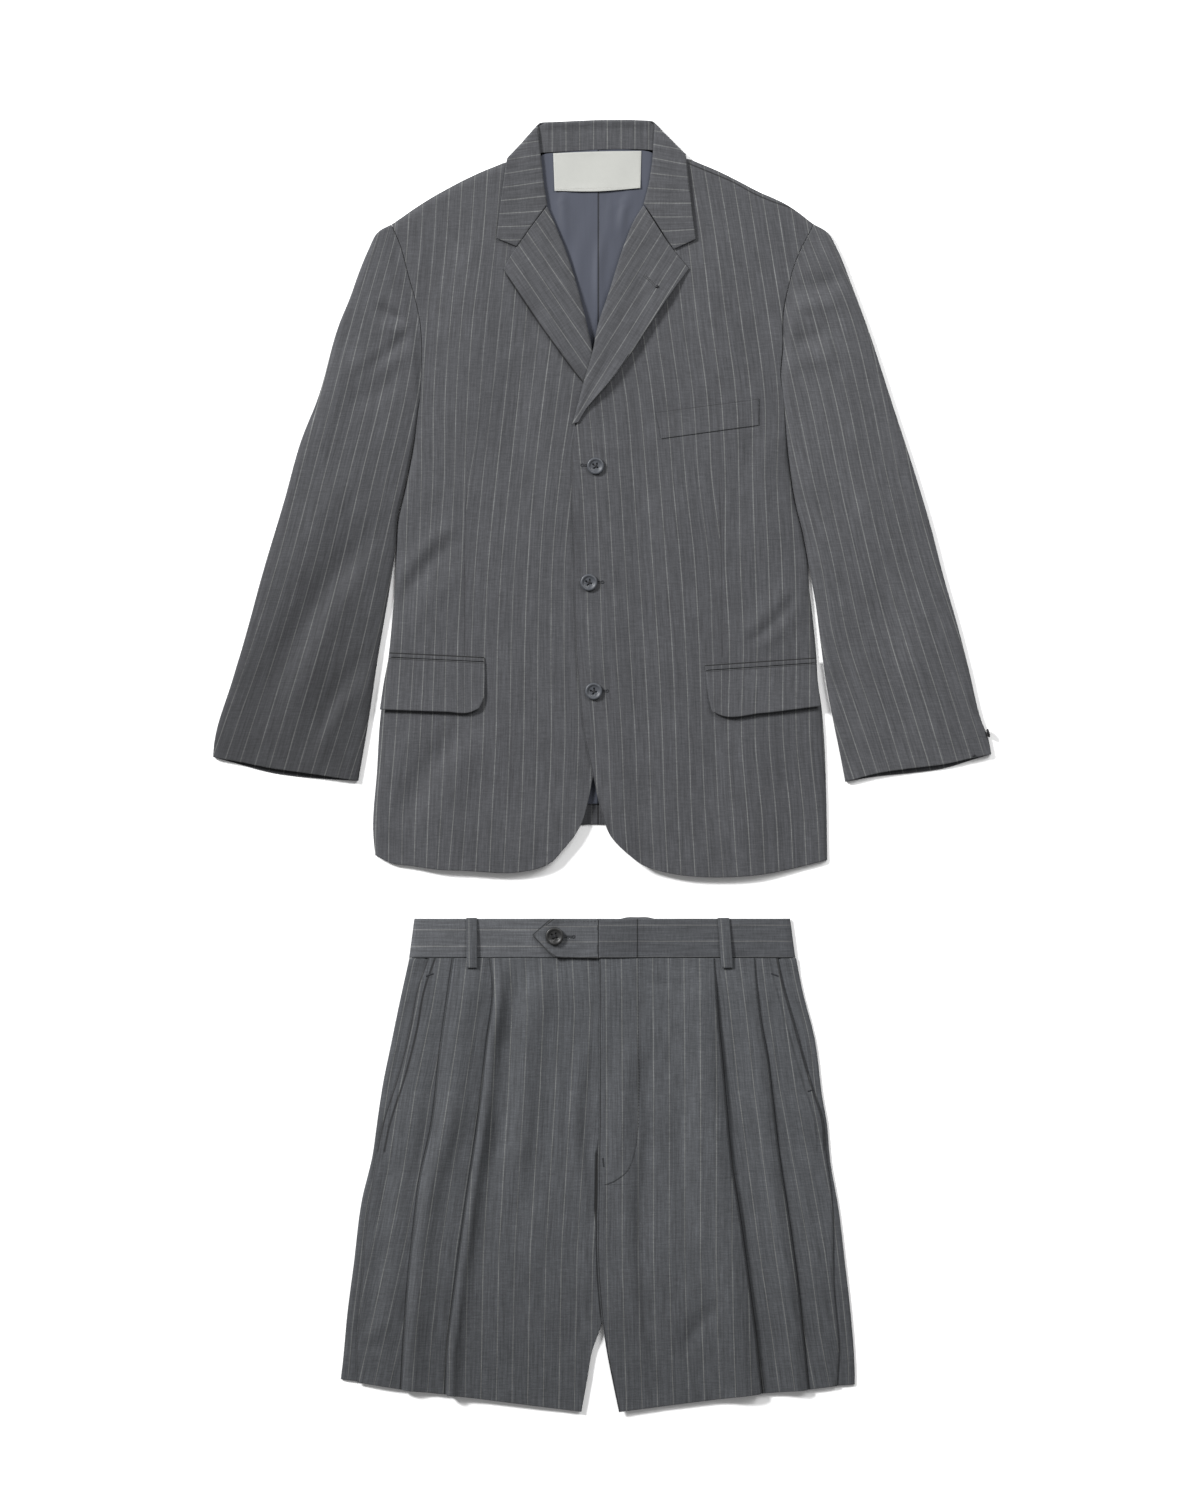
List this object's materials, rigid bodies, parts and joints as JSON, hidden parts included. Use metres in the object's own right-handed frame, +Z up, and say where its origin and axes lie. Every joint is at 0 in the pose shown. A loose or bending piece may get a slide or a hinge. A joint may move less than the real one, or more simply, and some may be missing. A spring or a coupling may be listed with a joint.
{
  "type": "shorts suit laid flat",
  "caption": "Grey pinstripe single-breasted jacket with notched lapels and flap pockets, buttoned and laid flat above matching pleated knee-length shorts with a tabbed waistband.",
  "frame": {"origin": "centre of the whole set's underside, on the surface it lies on", "axes": "+Y towards the jacket's collar, +X towards the wearer's left side, which is the viewer's right, +Z up from the surface"},
  "size_m": [0.8168, 1.3558, 0.0115],
  "materials": {
    "suiting": "fine worsted wool with a thin light pinstripe, matt with a faint sheen",
    "shorts_suiting": "the same worsted wool, with a slightly wider pinstripe",
    "lining": "blue-grey satin lining",
    "label": "bare cream woven label",
    "jacket_button": "dark grey four-hole button, satin gloss",
    "shorts_button": "near black four-hole button, satin gloss"
  },
  "bodies": {
    "root": {"jacket_back": "suiting", "jacket_lining": "lining", "front_right": "suiting", "front_left": "suiting", "lapel_right": "suiting", "lapel_left": "suiting", "collar": "suiting", "collar_stand": "suiting", "sleeve_right": "suiting", "sleeve_left": "suiting", "label": "label", "pocket_flap_right": "suiting", "pocket_flap_left": "suiting", "pocket_welt_right": "suiting", "pocket_welt_left": "suiting", "chest_welt": "suiting", "front_button_1": "jacket_button", "front_button_2": "jacket_button", "front_button_3": "jacket_button", "cuff_button": "jacket_button", "shorts_back_right": "shorts_suiting", "shorts_back_left": "shorts_suiting", "shorts_front_right": "shorts_suiting", "shorts_front_left": "shorts_suiting", "side_panel_right": "shorts_suiting", "side_panel_left": "shorts_suiting", "waistband_back": "shorts_suiting", "waistband_right": "shorts_suiting", "waistband_left": "shorts_suiting", "waist_tab": "shorts_suiting", "belt_loop_right": "shorts_suiting", "belt_loop_left": "shorts_suiting", "waist_button": "shorts_button"}
  },
  "joints": []
}
